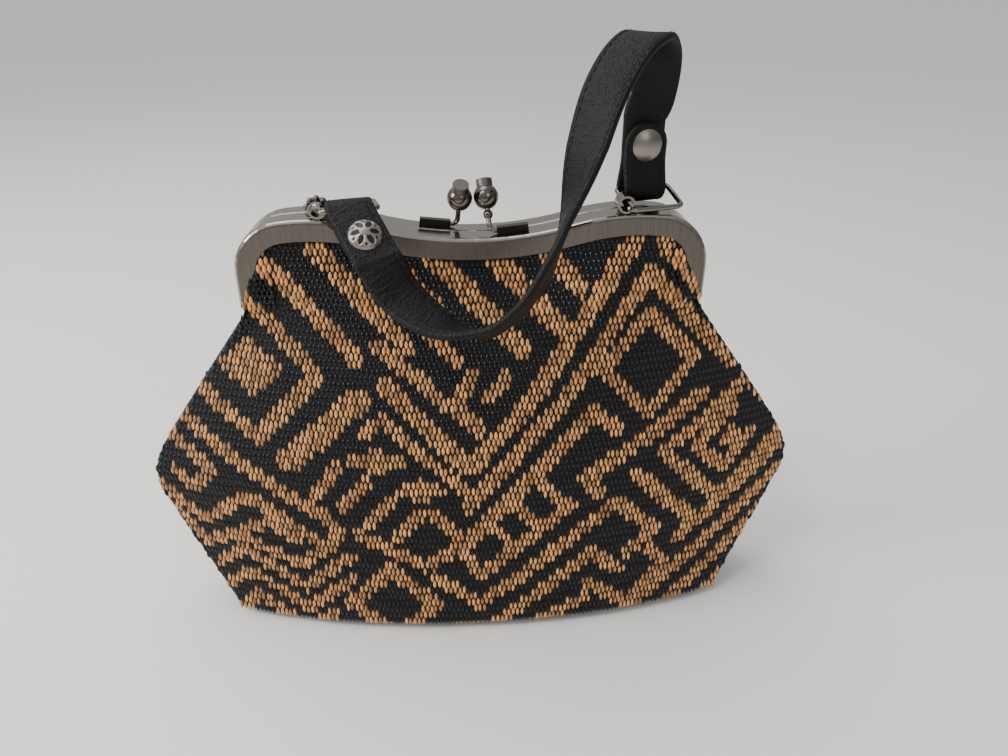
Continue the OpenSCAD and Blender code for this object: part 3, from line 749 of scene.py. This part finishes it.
    def edge_spots(self, side: Side, panel: BVHTree, rows: list) -> list[Spot]:
        """Finds the floats on the narrow ends of a panel, next to the side seams.

        Args:
            side: Face of the bag.
            panel: Surface of the panel.
            rows: Number, height and pitch of each row.

        Returns:
            The floats' spots.
        """
        spots = []
        for j, z, pitch in rows:
            for i in range(self.end_columns):
                y = side.value * (i + 0.5 + 0.5 * (j % 2)) * self.column_mm
                for end in (-1, 1):
                    start = Vector((end * self.ray_end_mm * MM, y * MM, z * MM))
                    spot, normal, _, _ = panel.ray_cast(start, Vector((-end, 0, 0)))
                    if spot is None or abs(spot.x) <= self.end_out_mm * MM:
                        continue
                    if normal.x * end > self.end_normal and abs(normal.y) < self.end_slant:
                        cell = (end * (self.reach_mm + abs(y)), z)
                        spots.append(Spot(spot, normal, cell, pitch * self.float_length, False))
        return spots

    def floats(self, name: str, centres: np.ndarray, normals: np.ndarray, lengths: np.ndarray, across: int,
               finish: bpy.types.Material) -> bpy.types.Object:
        """Builds the floats of one colour as one mesh of pointed spindles.

        Args:
            name: Name of the piece.
            centres: Place of each float on the cloth, in metres.
            normals: Outward direction at each float.
            lengths: Length of each float in millimetres.
            across: Points across a float.
            finish: Material of the straw.

        Returns:
            The piece.
        """
        along, wide, high = np.array(self.spindle).T
        turn = np.linspace(-1, 1, across)
        local = np.array([[turn[k] * wide[i] * self.float_wide_mm / 2, along[i] / 2,
                           high[i] * self.float_high_mm * math.sqrt(max(0, 1 - turn[k] ** 2)) - self.sink_mm]
                          for i in range(len(along)) for k in range(across)]) * MM
        normals = unit(normals)
        rise = unit(UP - normals * normals[:, 2:3])
        right = np.cross(rise, normals)
        dice = np.random.default_rng(self.seed)
        stray = dice.normal(0, self.stray_mm * MM, (len(centres), 2))
        centres = centres + stray[:, 0:1] * right + self.stray_along * stray[:, 1:2] * rise
        points = (centres[:, None] + local[None, :, 0:1] * right[:, None] + local[None, :, 2:3] * normals[:, None]
                  + local[None, :, 1:2] * (rise * lengths[:, None])[:, None])
        quads = np.array(grid(len(along), across, closed=False))
        faces = (quads[None] + (np.arange(len(centres)) * len(local))[:, None, None]).reshape(-1, 4)
        piece = mesh_object(name, points.reshape(-1, 3), faces, [finish])
        tones_and_painted_shade = dice.uniform(*self.tone_span, len(centres))[:, None]
        # Painted shade: each float is drawn darker towards its tips
        tones_and_painted_shade = tones_and_painted_shade - self.tip_painted_shade * np.repeat(along**2, across)[None]
        piece.data.attributes.new(TONE_AND_PAINTED_SHADE, "FLOAT", "POINT").data.foreach_set("value", tones_and_painted_shade.ravel())
        return piece


@dataclass
class MetalFittings:
    """The frame halves, clasp, tubes, rings and pins, which keep their solids and take gunmetal finishes."""

    finishes: Finishes
    plate_nodes: tuple[str, ...] = ("front_rail", "back_rail", "front_left_tab", "front_right_tab", "back_left_tab",
                                    "back_right_tab")
    polish_nodes: tuple[str, ...] = ("left_hinge_pin", "right_hinge_pin", "front_knob_post", "back_knob_post",
                                     "left_strap_tube", "right_strap_tube", "left_ring", "right_ring")
    smoke_nodes: tuple[str, ...] = ("front_knob_collar", "front_knob_ball", "back_knob_ball")
    satin_nodes: tuple[str, ...] = ("left_rivet_cap", "right_rivet_cap", "left_rivet_head", "right_rivet_head")
    turned_nodes: tuple[str, ...] = ("front_knob_cap", "back_knob_cap")
    black_nodes: tuple[str, ...] = ("front_knob_foot", "back_knob_foot")
    # Edges that turn by more degrees than this stay sharp
    crease: float = 32.0
    # Ring of round beads that hides the small ones on the left tube, in millimetres and degrees
    bead_centre: tuple[float, float, float] = (-57.0, -7.8, 184.214)
    bead_orbit: float = 3.85
    bead_r: float = 1.25
    bead_count: int = 7
    bead_span: float = 230.0
    bead_top: float = 90.0
    bead_turns: int = 16
    bead_rings: int = 9
    # Angle in radians at which a bead's first ring of points lies
    bead_pole: float = 0.02

    def build(self) -> None:
        """Gives each metal solid its finish and adds the beads of the left tube."""
        for nodes, finish in ((self.plate_nodes, self.finishes.plate), (self.polish_nodes, self.finishes.polish),
                              (self.smoke_nodes, self.finishes.smoke), (self.satin_nodes, self.finishes.satin),
                              (self.turned_nodes, self.finishes.turned), (self.black_nodes, self.finishes.black_metal)):
            for node in nodes:
                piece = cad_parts[node]
                piece.data.materials.clear()
                piece.data.materials.append(finish)
                piece.data.shade_smooth()
                piece.data.set_sharp_from_angle(angle=math.radians(self.crease))
                LOG.info("%s: %s", node, finish.name)
        self.beads()

    def beads(self) -> None:
        """Adds the beads round the left tube."""
        points, faces = [], []
        half = self.bead_span / 2
        for angle in np.radians(np.linspace(self.bead_top - half, self.bead_top + half, self.bead_count)):
            base = len(points)
            middle = np.array(self.bead_centre) + self.bead_orbit * np.array([math.cos(angle), 0, math.sin(angle)])
            for polar in np.linspace(self.bead_pole, math.pi - self.bead_pole, self.bead_rings):
                out, up = math.sin(polar), math.cos(polar)
                points += [middle + self.bead_r * np.array([out * math.cos(a), out * math.sin(a), up])
                           for a in np.linspace(0, 2 * math.pi, self.bead_turns, endpoint=False)]
            faces += grid(self.bead_rings, self.bead_turns, base=base, flip=True)
        piece = mesh_object("left_tube_beads", np.array(points) * MM, faces, [self.finishes.smoke])
        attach(piece, "front_frame")
        LOG.info("%s: %d faces", piece.name, len(faces))


@dataclass
class FlowerRivet:
    """A rivet's domed head with a flower of hollow petals pressed into it, in millimetres."""

    finishes: Finishes
    rivet: Rivet
    # The dome's radius and height, and its seat above the middle of the strap
    radius: float = 6.2
    high: float = 2.2
    seat: float = 1.45
    # Height of the flowered skin over the dome, and depth of its hollows
    skin: float = 0.42
    depth: float = 0.36
    # Petals and, between them, dots: distance from the middle, and half sizes
    petals: int = 6
    petal_at: float = 3.4
    petal_long: float = 1.75
    petal_wide: float = 1.05
    dot_at: float = 4.7
    dot_r: float = 0.55
    # Where the slope of a petal and of a dot starts, and how wide it is, as shares of the hollow
    petal_slope: tuple[float, float] = (1.1, 0.3)
    dot_slope: tuple[float, float] = (1.2, 0.5)
    # Hollows deeper than this share are black
    dark_over: float = 0.55
    # The skin thins out at the rim and stays a hair above the dome
    rim: float = 0.12
    lift: float = 0.03
    # Share of the radius at which the first ring of points lies
    hub: float = 0.02
    rings: int = 22
    spokes: int = 96

    def hollow(self, r: np.ndarray, a: np.ndarray) -> np.ndarray:
        """Returns how deep the flower is pressed in, from nought to one.

        Args:
            r: Distances from the middle.
            a: Angles in radians.

        Returns:
            The share of the full depth at each place.
        """
        turn = 2 * math.pi / self.petals
        near = (a + turn / 2) % turn - turn / 2
        petal = ((r * np.cos(near) - self.petal_at) / self.petal_long) ** 2 + (r * np.sin(near) / self.petal_wide) ** 2
        far = a % turn - turn / 2
        dot = ((r * np.cos(far) - self.dot_at) ** 2 + (r * np.sin(far)) ** 2) / self.dot_r**2
        slopes = ((petal, *self.petal_slope), (dot, *self.dot_slope))
        return np.maximum(*(np.clip((start - shape) / wide, 0, 1) for shape, start, wide in slopes))

    def build(self) -> None:
        """Builds the flowered skin over the plain dome."""
        r, a = np.meshgrid(np.linspace(self.hub, 1, self.rings) * self.radius,
                           np.linspace(0, 2 * math.pi, self.spokes, endpoint=False), indexing="ij")
        ball = (self.radius**2 + self.high**2) / (2 * self.high)
        edge = np.clip((1 - r / self.radius) / self.rim, 0, 1)
        hollow = self.hollow(r, a)
        height = (self.seat + np.sqrt(ball**2 - r**2) + self.high - ball
                  + self.lift + self.skin * edge * (2 - edge) - self.depth * hollow * edge)
        at, out = (np.array(value) for value in self.rivet.value)
        out = unit(out)
        side = unit(np.cross(out, UP))
        top = np.cross(side, out)
        points = (at + (r * np.cos(a)).reshape(-1, 1) * side + (r * np.sin(a)).reshape(-1, 1) * top
                  + height.reshape(-1, 1) * out)
        faces = grid(self.rings, self.spokes, flip=True)
        piece = mesh_object(f"{self.rivet.name.lower()}_rivet_flower", points * MM, faces,
                            [self.finishes.satin, self.finishes.black_metal])
        deep = hollow.ravel()
        piece.data.polygons.foreach_set("material_index",
                                        [int(np.mean(deep[list(face)]) > self.dark_over) for face in faces])
        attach(piece, "handle")
        LOG.info("%s: %d faces", piece.name, len(faces))


@dataclass
class Strap:
    """The leather strap: a stitched band folded round both rings, in millimetres."""

    finishes: Finishes
    wide: float = 17.0
    thick: float = 2.8
    # Inner radius of a fold, and the gap between its layers
    fold: float = 2.6
    layer_gap: float = 0.2
    fold_knots: int = 9
    # Middle of each ring's bar, which the strap is folded round, and the direction across the strap there
    left_bar: tuple[float, float, float] = (-44.6779, -14.5149, 185.354)
    right_bar: tuple[float, float, float] = (65.3454, 5.23171, 187.391)
    left_across: tuple[float, float, float] = (0.979673, 0.199317, 0.022687)
    right_across: tuple[float, float, float] = (-0.981375, -0.190760, -0.022687)
    # The left fold lies a little lower than its bar, and leaves it at this angle in degrees and this slant
    left_drop: float = 1.25
    left_exit: float = 50.0
    slant: float = 0.3
    # Where the layers of a fold meet, as shares of the way to its rivet
    left_meets: tuple[float, float] = (0.54, 0.46)
    right_meet: float = 0.6
    # Way from each fold to its rivet, to the end of its tail and to where the strap runs free
    left_reaches: tuple[float, float, float] = (13.0, 20.0, 23.0)
    right_reaches: tuple[float, float, float] = (16.0, 24.0, 27.0)
    # The free run: shares of the span between the bars, of how far it hangs forward and of how high it rises
    hang: float = 36.0
    rise: float = 57.0
    run: tuple[tuple[float, float, float], ...] = (
        (0.17, 0.64, -0.41), (0.285, 0.86, -0.54), (0.42, 1, -0.57), (0.53, 1, -0.43), (0.62, 0.89, -0.20),
        (0.68, 0.69, 0.04), (0.75, 0.39, 0.44), (0.81, 0.17, 0.73), (0.89, -0.05, 0.94), (0.97, -0.3, 1),
        (1.02, -0.52, 0.86), (1.02, -0.61, 0.62))
    # Rough direction across the strap at each point of the run
    run_across: tuple[tuple[float, float, float], ...] = (
        (0.6, 0.62, 0.4), (0.35, 0.85, 0.1), (0.05, 0.85, -0.5), (0.15, 0.85, -0.5), (0.25, 0.88, -0.4),
        (0, 0.93, -0.35), (-0.7, 0.68, -0.1), (-0.85, 0.5, 0), (-0.9, 0.42, 0), (-0.95, 0.3, 0.05), (-1, 0.1, 0),
        (-1, 0, 0))
    # Distance between points of the middle line
    step: float = 1.1
    # The round tails end a little blunt
    blunt: float = 0.6
    # Channel under each row of stitches: half its width, and its floor as a share of half the thickness
    channel: float = 0.7
    channel_floor: float = 0.84
    # Faces higher than this, as a share of half the thickness, are grained
    grain_over: float = 0.1
    # Stitches lie this far in from the edge; their seat is a share of half the thickness
    stitch_long: float = 2.4
    stitch_pitch: float = 3.3
    stitch_in: float = 1.9
    stitch_r: float = 0.32
    stitch_sides: int = 6
    stitch_seat: float = 0.86
    # Places along half a stitch, and how far it rises there in radii of the thread
    stitch_arch: tuple[tuple[float, float], ...] = ((-1.0, -0.5), (-0.7, 0.2), (0.0, 0.4), (0.7, 0.2), (1.0, -0.5))

    def build(self) -> None:
        """Builds the band and its two rows of stitches."""
        centre, across, normal = self.path()
        band = self.band(centre, across, normal)
        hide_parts("strap")
        stitches = self.stitches(centre, across, normal)
        for piece in (band, stitches):
            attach(piece, "handle")
            LOG.info("%s: %d faces", piece.name, len(piece.data.polygons))

    def path(self) -> tuple[np.ndarray, np.ndarray, np.ndarray]:
        """Finds the strap's middle line.

        Returns:
            Points, directions across and outward normals along the line.
        """
        left_across, right_across = np.array(self.left_across), np.array(self.right_across)
        left_ahead, right_ahead = unit(np.cross(UP, -left_across)), unit(np.cross(UP, right_across))
        left = np.array(self.left_bar) - UP * self.left_drop
        right = np.array(self.right_bar)
        radius, layer = self.fold + self.thick / 2, self.thick + self.layer_gap
        out = math.radians(self.left_exit)
        heading = math.sin(out) * left_ahead - math.cos(out) * UP + self.slant * left_across
        outward = unit(np.cross(heading, left_across))
        begin = left + radius * (math.cos(out) * left_ahead + math.sin(out) * UP)
        rivet, tail, clear = self.left_reaches
        meets = [rivet * m for m in self.left_meets]
        knots = [begin + r * heading - layer * outward for r in (tail, rivet, *meets)]
        knots += [left + radius * (math.cos(a) * left_ahead + math.sin(a) * UP)
                  for a in np.linspace(out + math.pi, out, self.fold_knots)]
        knots += [begin + r * heading for r in (rivet, tail, clear)]
        directions = [left_across] * len(knots)
        span = right[0] - left[0]
        knots += [left + np.array([a * span, -b * self.hang, c * self.rise]) for a, b, c in self.run]
        directions += [np.array(v) for v in self.run_across]
        rivet, tail, clear = self.right_reaches
        knots += [right - right_ahead * layer / 2 + r * UP for r in (clear, tail, rivet, rivet * self.right_meet)]
        knots += [right + radius * (math.cos(a) * right_ahead + math.sin(a) * UP)
                  for a in np.linspace(math.pi, 2 * math.pi, self.fold_knots)]
        knots += [right + right_ahead * layer / 2 + r * UP for r in (rivet * self.right_meet, rivet, tail)]
        directions += [right_across] * (len(knots) - len(directions))
        return self.smooth(np.array(knots), np.array(directions))

    def smooth(self, knots: np.ndarray, directions: np.ndarray) -> tuple[np.ndarray, np.ndarray, np.ndarray]:
        """Draws a smooth curve through the knots.

        Args:
            knots: Points that the line passes through.
            directions: Rough direction across the strap at each knot.

        Returns:
            Points, directions across and outward normals along the line.
        """
        gaps = np.linalg.norm(np.diff(knots, axis=0), axis=1)
        before, after = np.r_[0, gaps], np.r_[gaps, 0]
        ahead, behind = np.r_[knots[1:], knots[-1:]], np.r_[knots[:1], knots[:-1]]
        slopes = (ahead - behind) / (before + after)[:, None]
        points, turns = [], []
        for i, gap in enumerate(gaps):
            for t in np.arange(0, 1, 1 / max(1, round(gap / self.step))):
                points.append((2 * t**3 - 3 * t**2 + 1) * knots[i] + (3 * t**2 - 2 * t**3) * knots[i + 1]
                              + gap * (t**3 - 2 * t**2 + t) * slopes[i] + gap * (t**3 - t**2) * slopes[i + 1])
                turns.append(directions[i] * (1 - t) + directions[i + 1] * t)
        centre = np.array(points + [knots[-1]])
        turns = np.array(turns + [directions[-1]])
        tangent = unit(np.gradient(centre, axis=0))
        across = unit(turns - np.sum(turns * tangent, axis=1, keepdims=True) * tangent)
        return centre, across, np.cross(tangent, across)

    def travel(self, centre: np.ndarray) -> np.ndarray:
        """Returns the distance along the line at each of its points."""
        return np.r_[0, np.cumsum(np.linalg.norm(np.diff(centre, axis=0), axis=1))]

    def half_widths(self, centre: np.ndarray) -> np.ndarray:
        """Finds half the width along the line, drawn in to a round end at both tails.

        Args:
            centre: Points of the middle line.

        Returns:
            Half the width at each point.
        """
        travel = self.travel(centre)
        away = np.minimum(travel, travel[-1] - travel) + self.blunt
        radius = self.wide / 2
        return radius * np.sqrt(1 - (1 - np.clip(away / radius, 0, 1)) ** 2)

    def band(self, centre: np.ndarray, across: np.ndarray, normal: np.ndarray) -> bpy.types.Object:
        """Builds the leather band with rounded, waxed edges and a shallow channel under each stitch row.

        Args:
            centre: Points of the middle line.
            across: Directions across the strap.
            normal: Outward normals.

        Returns:
            The piece.
        """
        half = self.thick / 2
        line, channel = self.stitch_in, self.channel
        # Outline of the band: share of half the width, millimetres beside it, share of half the thickness
        outer = [(1, 0, -0.15), (1, -0.25, 0.55), (1, -0.7, 0.92), (1, -line + channel, 1.0),
                 (1, -line, self.channel_floor), (1, -line - channel, 1.0), (0.5, 0, 1.04), (0, 0, 1.05)]
        inner = [(-1, 0.25, -0.55), (-1, 0.7, -0.92), (-0.5, 0, -1.0), (0, 0, -1.0), (0.5, 0, -1.0), (1, -0.7, -0.92),
                 (1, -0.25, -0.55)]
        ring = np.array(outer + [(-s, -d, h) for s, d, h in reversed(outer[:-1])] + inner)
        widths = self.half_widths(centre)[:, None, None]
        shift = ring[None, :, 0:1] * widths + ring[None, :, 1:2] * np.minimum(1, widths / (self.wide / 2))
        points = centre[:, None] + shift * across[:, None] + ring[None, :, 2:3] * half * normal[:, None]
        count, size = points.shape[:2]
        ends = [tuple(range(size))[::-1], tuple((count - 1) * size + i for i in range(size))]
        piece = mesh_object("leather_strap", points.reshape(-1, 3) * MM, grid(count, size) + ends,
                            [self.finishes.grain, self.finishes.flesh])
        flesh = (ring[:, 2] + np.roll(ring[:, 2], -1)) / 2 <= self.grain_over
        piece.data.polygons.foreach_set("material_index", [int(f) for f in flesh] * (count - 1) + [1] * len(ends))
        travel = self.travel(centre)
        layer = piece.data.uv_layers.new(name="strap")
        for loop, corner in zip(piece.data.loops, layer.data):
            j, i = divmod(loop.vertex_index, size)
            corner.uv = (travel[j] * MM, float(shift[j, i, 0]) * MM)
        return piece

    def stitches(self, centre: np.ndarray, across: np.ndarray, normal: np.ndarray) -> bpy.types.Object:
        """Builds the stitches along both edges of the outer side.

        Args:
            centre: Points of the middle line.
            across: Directions across the strap.
            normal: Outward normals.

        Returns:
            The piece.
        """
        travel = self.travel(centre)
        widths = self.half_widths(centre)
        points, faces = [], []
        for middle in np.arange(self.wide / 2, travel[-1] - self.wide / 2, self.stitch_pitch):
            for side in (-1, 1):
                base = len(points)
                for s, lift in self.stitch_arch:
                    at = middle + s * self.stitch_long / 2
                    spot, out, face = (np.array([np.interp(at, travel, v[:, c]) for c in range(3)])
                                       for v in (centre, across, normal))
                    width = np.interp(at, travel, widths) - self.stitch_in
                    for a in np.linspace(0, 2 * math.pi, self.stitch_sides, endpoint=False):
                        high = self.thick / 2 * self.stitch_seat + self.stitch_r * (lift + math.sin(a))
                        points.append(spot + out * (side * width + self.stitch_r * math.cos(a)) + face * high)
                faces += grid(len(self.stitch_arch), self.stitch_sides, base=base)
        return mesh_object("strap_stitches", np.array(points) * MM, faces, [self.finishes.thread])


@dataclass(frozen=True)
class Lamp:
    """A square soft light that faces the bag: its place and side in metres, and its power in watts."""

    name: str
    place: tuple[float, float, float]
    size: float
    power: float


@dataclass
class Studio:
    """The pale floor, the soft lights and the camera at the photograph's angle."""

    # The camera's place, its turn and tilt in degrees, and its lens and sensor in millimetres
    eye_mm: tuple[float, float, float] = (-6.8, -285.2, 258.1)
    yaw: float = 3.74
    pitch: float = 27.7
    lens: float = 27.04
    sensor: float = 36.0
    # Metres from the camera at which the view starts, and half the side of the floor
    near: float = 0.01
    floor_half: float = 60.0
    lamps: tuple[Lamp, ...] = (
        Lamp("overhead softbox", (-0.3, 0.3, 1.2), size=0.7, power=5.0),
        Lamp("front fill", (0.4, -1.0, 0.8), size=0.5, power=1.5),
        Lamp("window", (-1.2, -0.3, 0.8), size=0.6, power=13.0),
        Lamp("glint", (-0.5, -0.45, 1.1), size=0.16, power=3.0))
    aim: tuple[float, float, float] = (0, 0, 0.1)
    # Colours of the sky, and the heights of a ray at which they are reached
    sky_low: str = "#A8A49E"
    sky_high: str = "#F4F5F7"
    sky_span: tuple[float, float] = (-0.1, 0.8)
    # Strength of the sky on the window's side and on the other
    sky_power: tuple[float, float] = (1.3, 0.5)

    def build(self) -> None:
        """Builds the stage."""
        paper = PlainFinish("pale paper", colour="#F0EEEA", roughness=0.7).material()
        far = self.floor_half
        floor = mesh_object("floor", np.array([[-far, -far, 0], [far, -far, 0], [far, far, 0], [-far, far, 0]]),
                            [(0, 1, 2, 3)], [paper])
        self.sky()
        for lamp in self.lamps:
            self.light(lamp)
        self.camera()

    def sky(self) -> None:
        """Builds a pale sky, brightest above and on the window's side."""
        world = bpy.data.worlds.new("studio")
        world.use_nodes = True
        tree = world.node_tree
        ray = add(tree, "ShaderNodeSeparateXYZ", links={0: add(tree, "ShaderNodeTexCoord").outputs["Generated"]})
        low, high = self.sky_span
        height = add(tree, "ShaderNodeMapRange", {"From Min": low, "From Max": high}, {"Value": ray.outputs["Z"]})
        shade = add(tree, "ShaderNodeMix", {"data_type": "RGBA", 6: linear(self.sky_low), 7: linear(self.sky_high)},
                    {0: height.outputs["Result"]})
        tree.links.new(shade.outputs[2], tree.nodes["Background"].inputs["Color"])
        bright, dim = self.sky_power
        left = add(tree, "ShaderNodeMapRange", {"From Min": -1.0, "From Max": 1.0, "To Min": bright, "To Max": dim},
                   {"Value": ray.outputs["X"]})
        tree.links.new(left.outputs["Result"], tree.nodes["Background"].inputs["Strength"])
        bpy.context.scene.world = world

    def light(self, lamp: Lamp) -> None:
        """Adds a lamp.

        Args:
            lamp: The lamp's name, place, size and power.
        """
        light = bpy.data.lights.new(lamp.name, "AREA")
        light.size = lamp.size
        light.energy = lamp.power
        piece = bpy.data.objects.new(lamp.name, light)
        piece.location = lamp.place
        piece.rotation_euler = (Vector(self.aim) - Vector(lamp.place)).to_track_quat("-Z", "Y").to_euler()
        bpy.context.scene.collection.objects.link(piece)

    def camera(self) -> None:
        """Sets the camera at the photograph's place."""
        data = bpy.data.cameras.new("camera")
        data.lens = self.lens
        data.sensor_width = self.sensor
        data.sensor_fit = "HORIZONTAL"
        data.clip_start = self.near
        piece = bpy.data.objects.new("camera", data)
        piece.location = Vector(self.eye_mm) * MM
        piece.rotation_euler = (math.radians(90 - self.pitch), 0, math.radians(-self.yaw))
        bpy.context.scene.collection.objects.link(piece)
        bpy.context.scene.camera = piece


def main() -> None:
    """Builds the bag's pieces and the stage."""
    logging.basicConfig(level=logging.INFO, format="%(name)s %(message)s")
    finishes = Finishes()
    flowers = [FlowerRivet(finishes, rivet) for rivet in Rivet]
    for assembly in (WovenPouch(finishes), MetalFittings(finishes), Strap(finishes), *flowers, Studio()):
        assembly.build()


if __name__ == "__main__":
    main()
